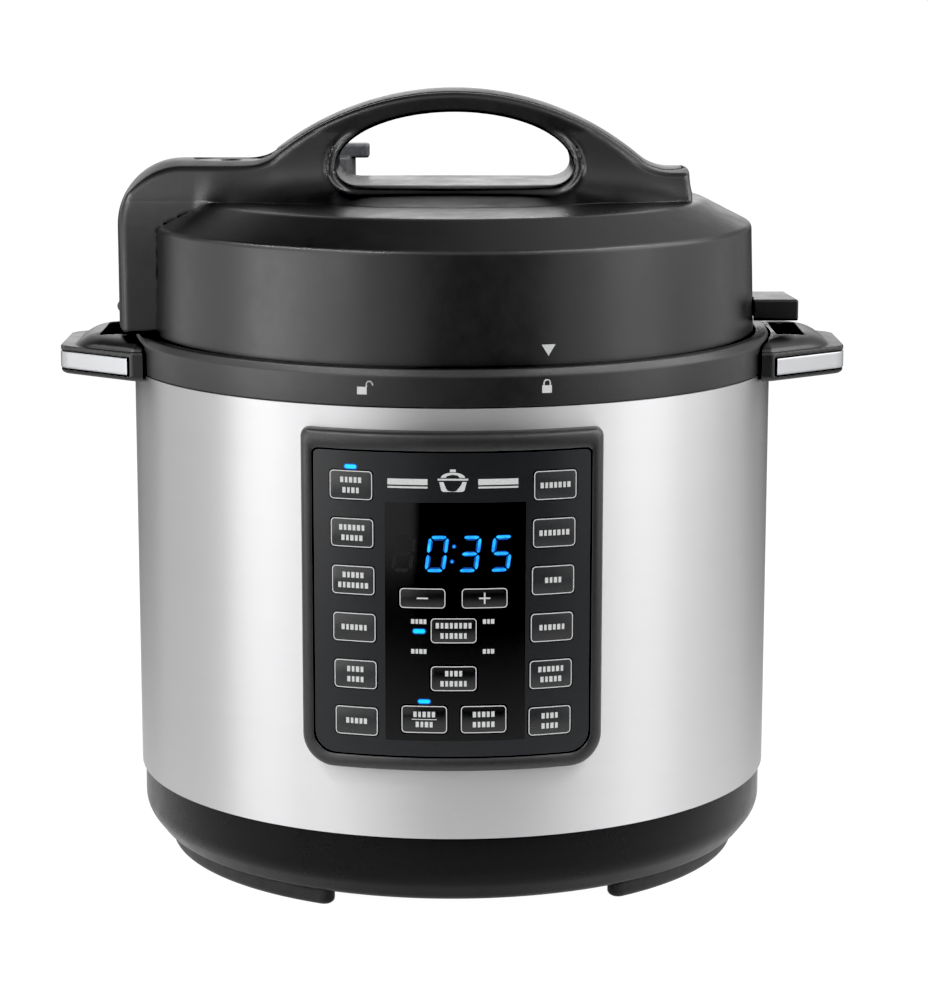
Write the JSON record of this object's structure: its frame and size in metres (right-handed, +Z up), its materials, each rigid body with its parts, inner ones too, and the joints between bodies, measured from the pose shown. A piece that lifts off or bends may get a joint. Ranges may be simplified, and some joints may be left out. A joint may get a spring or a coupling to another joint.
{
  "type": "electric pressure cooker",
  "caption": "Electric pressure cooker: steel body on a black base, keypad panel, removable pot, twist-lock lid with arched handle, steam valve and pressure indicator.",
  "frame": {"origin": "on the worktop, under the middle of the body", "axes": "+Z up, -Y towards the control panel, +X to the user's right"},
  "size_m": [0.325, 0.2815, 0.318],
  "materials": {
    "black_plastic": "satin, fine texture",
    "foot_rubber": "matte",
    "bright_steel": "bright, fine turning marks",
    "trim_steel": "bright satin",
    "brushed_steel": "brushed round the body",
    "cast_alloy": "turned casting",
    "board_green": "circuit board",
    "part_yellow": "taped winding",
    "matte_black": "moulded",
    "cup_plastic": "moulded, satin",
    "display_black": "display face",
    "panel_gloss": "glossy film",
    "key_film": "glossy film",
    "grey_plastic": "moulded, satin",
    "print_light": "printed symbols",
    "led_blue": "lit indicator",
    "silicone": "translucent white silicone"
  },
  "bodies": {
    "housing": {"base_shell": "black_plastic", "foot_front_left": "foot_rubber", "foot_front_right": "foot_rubber", "foot_rear_left": "foot_rubber", "foot_rear_right": "foot_rubber", "base_screw_1": "bright_steel", "base_screw_2": "bright_steel", "base_screw_3": "bright_steel", "outer_wrap": "brushed_steel", "collar": "black_plastic", "handle_left": "black_plastic", "handle_right": "black_plastic", "handle_trim_left": "trim_steel", "handle_trim_right": "trim_steel", "inner_housing": "bright_steel", "heating_plate": "cast_alloy", "sensor_spring": "bright_steel", "power_board": "board_green", "transformer": "part_yellow", "relay": "matte_black", "pressure_switch": "matte_black", "power_inlet": "matte_black", "panel_bezel": "black_plastic", "panel_overlay": "panel_gloss", "display_module": "display_black", "control_board": "board_green"},
    "pot": {"cooking_pot": "bright_steel"},
    "seal": {"sealing_ring": "silicone", "seal_rack": "bright_steel"},
    "lid": {"lid_cover": "black_plastic", "lid_plate": "bright_steel", "lid_handle": "black_plastic", "handle_top_strip": "black_plastic", "lid_rest_tab": "black_plastic", "vent_pipe": "bright_steel", "valve_shield": "bright_steel"},
    "steam_valve": {"steam_valve_knob": "grey_plastic"},
    "float": {"float_valve": "bright_steel", "float_gasket": "silicone"},
    "lock_slider": {"lid_lock_slider": "grey_plastic"},
    "sensor": {"temperature_sensor": "bright_steel"},
    "cup": {"condensation_cup": "cup_plastic"},
    "key_left_1_cap": {"key_left_1": "key_film"},
    "key_left_2_cap": {"key_left_2": "key_film"},
    "key_left_3_cap": {"key_left_3": "key_film"},
    "key_left_4_cap": {"key_left_4": "key_film"},
    "key_left_5_cap": {"key_left_5": "key_film"},
    "key_left_6_cap": {"key_left_6": "key_film"},
    "key_right_1_cap": {"key_right_1": "key_film"},
    "key_right_2_cap": {"key_right_2": "key_film"},
    "key_right_3_cap": {"key_right_3": "key_film"},
    "key_right_4_cap": {"key_right_4": "key_film"},
    "key_right_5_cap": {"key_right_5": "key_film"},
    "key_right_6_cap": {"key_right_6": "key_film"},
    "key_minus_cap": {"key_minus": "key_film"},
    "key_plus_cap": {"key_plus": "key_film"},
    "key_pressure_cap": {"key_pressure": "key_film"},
    "key_temperature_cap": {"key_temperature": "key_film"},
    "key_start_stop_cap": {"key_start_stop": "key_film"},
    "key_delay_cap": {"key_delay": "key_film"}
  },
  "joints": [
    {"name": "pot_lift", "type": "slide", "parent": "housing", "child": "pot", "axis": [0, 0, 1], "range_m": [0, 0.17]},
    {"name": "lid_lift", "type": "slide", "parent": "pot", "child": "seal", "axis": [0, 0, 1], "range_m": [0, 0.12]},
    {"name": "lid_turn", "type": "hinge", "parent": "seal", "child": "lid", "pos_m": [0, 0, 0.24], "axis": [0, 0, 1], "range_deg": [-30, 0]},
    {"name": "steam_valve_turn", "type": "hinge", "parent": "lid", "child": "steam_valve", "pos_m": [-0.054, 0.058, 0.28], "axis": [0, 0, 1], "range_deg": [0, 60]},
    {"name": "float_rise", "type": "slide", "parent": "lid", "child": "float", "axis": [0, 0, 1], "range_m": [0, 0.003]},
    {"name": "lock_slide", "type": "slide", "parent": "lid", "child": "lock_slider", "axis": [1, 0, 0], "range_m": [-0.003, 0], "stiffness_N_per_m": 150, "springref_m": 0.002},
    {"name": "sensor_press", "type": "slide", "parent": "housing", "child": "sensor", "axis": [0, 0, 1], "range_m": [-0.002, 0], "stiffness_N_per_m": 600, "springref_m": 0.002, "deforming": ["sensor_spring"]},
    {"name": "cup_pull", "type": "slide", "parent": "housing", "child": "cup", "axis": [0, 1, 0], "range_m": [0, 0.03]},
    {"name": "key_left_1_press", "type": "slide", "parent": "housing", "child": "key_left_1_cap", "axis": [0.279, 0.9603, 0], "range_m": [0, 0.0005], "stiffness_N_per_m": 600, "springref_m": -0.0005},
    {"name": "key_left_2_press", "type": "slide", "parent": "housing", "child": "key_left_2_cap", "axis": [0.2765, 0.961, 0], "range_m": [0, 0.0005], "stiffness_N_per_m": 600, "springref_m": -0.0005},
    {"name": "key_left_3_press", "type": "slide", "parent": "housing", "child": "key_left_3_cap", "axis": [0.2741, 0.9617, 0], "range_m": [0, 0.0005], "stiffness_N_per_m": 600, "springref_m": -0.0005},
    {"name": "key_left_4_press", "type": "slide", "parent": "housing", "child": "key_left_4_cap", "axis": [0.2716, 0.9624, 0], "range_m": [0, 0.0005], "stiffness_N_per_m": 600, "springref_m": -0.0005},
    {"name": "key_left_5_press", "type": "slide", "parent": "housing", "child": "key_left_5_cap", "axis": [0.2691, 0.9631, 0], "range_m": [0, 0.0005], "stiffness_N_per_m": 600, "springref_m": -0.0005},
    {"name": "key_left_6_press", "type": "slide", "parent": "housing", "child": "key_left_6_cap", "axis": [0.2667, 0.9638, 0], "range_m": [0, 0.0005], "stiffness_N_per_m": 600, "springref_m": -0.0005},
    {"name": "key_right_1_press", "type": "slide", "parent": "housing", "child": "key_right_1_cap", "axis": [-0.2848, 0.9586, 0], "range_m": [0, 0.0005], "stiffness_N_per_m": 600, "springref_m": -0.0005},
    {"name": "key_right_2_press", "type": "slide", "parent": "housing", "child": "key_right_2_cap", "axis": [-0.2823, 0.9593, 0], "range_m": [0, 0.0005], "stiffness_N_per_m": 600, "springref_m": -0.0005},
    {"name": "key_right_3_press", "type": "slide", "parent": "housing", "child": "key_right_3_cap", "axis": [-0.2799, 0.96, 0], "range_m": [0, 0.0005], "stiffness_N_per_m": 600, "springref_m": -0.0005},
    {"name": "key_right_4_press", "type": "slide", "parent": "housing", "child": "key_right_4_cap", "axis": [-0.2774, 0.9608, 0], "range_m": [0, 0.0005], "stiffness_N_per_m": 600, "springref_m": -0.0005},
    {"name": "key_right_5_press", "type": "slide", "parent": "housing", "child": "key_right_5_cap", "axis": [-0.2749, 0.9615, 0], "range_m": [0, 0.0005], "stiffness_N_per_m": 600, "springref_m": -0.0005},
    {"name": "key_right_6_press", "type": "slide", "parent": "housing", "child": "key_right_6_cap", "axis": [-0.2725, 0.9622, 0], "range_m": [0, 0.0005], "stiffness_N_per_m": 600, "springref_m": -0.0005},
    {"name": "key_minus_press", "type": "slide", "parent": "housing", "child": "key_minus_cap", "axis": [0.0819, 0.9966, 0], "range_m": [0, 0.0005], "stiffness_N_per_m": 600, "springref_m": -0.0005},
    {"name": "key_plus_press", "type": "slide", "parent": "housing", "child": "key_plus_cap", "axis": [-0.0899, 0.996, 0], "range_m": [0, 0.0005], "stiffness_N_per_m": 600, "springref_m": -0.0005},
    {"name": "key_pressure_press", "type": "slide", "parent": "housing", "child": "key_pressure_cap", "axis": [-0.0043, 1, 0], "range_m": [0, 0.0005], "stiffness_N_per_m": 600, "springref_m": -0.0005},
    {"name": "key_temperature_press", "type": "slide", "parent": "housing", "child": "key_temperature_cap", "axis": [-0.0043, 1, 0], "range_m": [0, 0.0005], "stiffness_N_per_m": 600, "springref_m": -0.0005},
    {"name": "key_start_stop_press", "type": "slide", "parent": "housing", "child": "key_start_stop_cap", "axis": [0.0775, 0.997, 0], "range_m": [0, 0.0005], "stiffness_N_per_m": 600, "springref_m": -0.0005},
    {"name": "key_delay_press", "type": "slide", "parent": "housing", "child": "key_delay_cap", "axis": [-0.0877, 0.9961, 0], "range_m": [0, 0.0005], "stiffness_N_per_m": 600, "springref_m": -0.0005}
  ]
}
